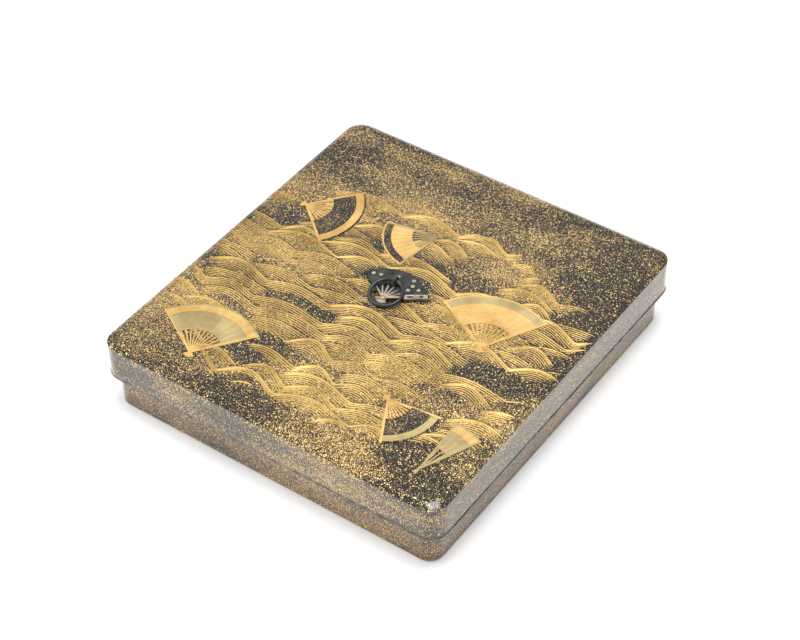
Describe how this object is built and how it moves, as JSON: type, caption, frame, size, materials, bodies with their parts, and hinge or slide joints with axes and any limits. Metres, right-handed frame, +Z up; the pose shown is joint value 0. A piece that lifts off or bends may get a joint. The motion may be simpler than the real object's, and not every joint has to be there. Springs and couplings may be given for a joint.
{
  "type": "lacquered paper box",
  "caption": "Low, almost square lacquered box with a deep overhanging domed lid, metal rim strips and a lifting ring on a fan-shaped fitting.",
  "frame": {"origin": "middle of the underside, on the surface the box stands on", "axes": "+Z up out of the lid, +Y along the longer side, in the direction in which the fan of the fitting opens, +X along the shorter side"},
  "size_m": [0.217, 0.233, 0.0541],
  "materials": {
    "body_lacquer": "black-brown lacquer on wood, densely sprinkled with gold",
    "lid_lacquer": "polished black-brown lacquer on wood with gold sprinkled in clouds",
    "rim_metal": "dull grey tin alloy",
    "dark_metal": "dark patinated copper alloy",
    "silver": "soft worn silver",
    "gold": "satin gold"
  },
  "bodies": {
    "box": {"box_floor": "body_lacquer", "box_wall_front": "body_lacquer", "box_wall_right": "body_lacquer", "box_wall_back": "body_lacquer", "box_wall_left": "body_lacquer", "box_rim_front": "rim_metal", "box_rim_right": "rim_metal", "box_rim_back": "rim_metal", "box_rim_left": "rim_metal"},
    "lid": {"lid_board": "lid_lacquer", "lid_wall_front": "lid_lacquer", "lid_wall_right": "lid_lacquer", "lid_wall_back": "lid_lacquer", "lid_wall_left": "lid_lacquer", "lid_rim_front": "rim_metal", "lid_rim_right": "rim_metal", "lid_rim_back": "rim_metal", "lid_rim_left": "rim_metal", "fan_base": "dark_metal", "fan_leaf": "dark_metal", "fan_ribs": "silver", "fan_guard": "silver", "fan_rivet": "gold", "inlay_blossom_1": "silver", "inlay_blossom_2": "gold", "inlay_blossom_3": "silver", "ring_eye": "dark_metal", "eye_washer": "silver"},
    "ring": {"lifting_ring": "dark_metal"}
  },
  "joints": [
    {"name": "lid_lift", "type": "slide", "parent": "box", "child": "lid", "axis": [0, 0, 1], "range_m": [0, 0.06]},
    {"name": "ring_swing", "type": "hinge", "parent": "lid", "child": "ring", "pos_m": [-0.0015, 0.0055, 0.0515], "axis": [-1, 0, 0], "range_deg": [0, 188]}
  ]
}
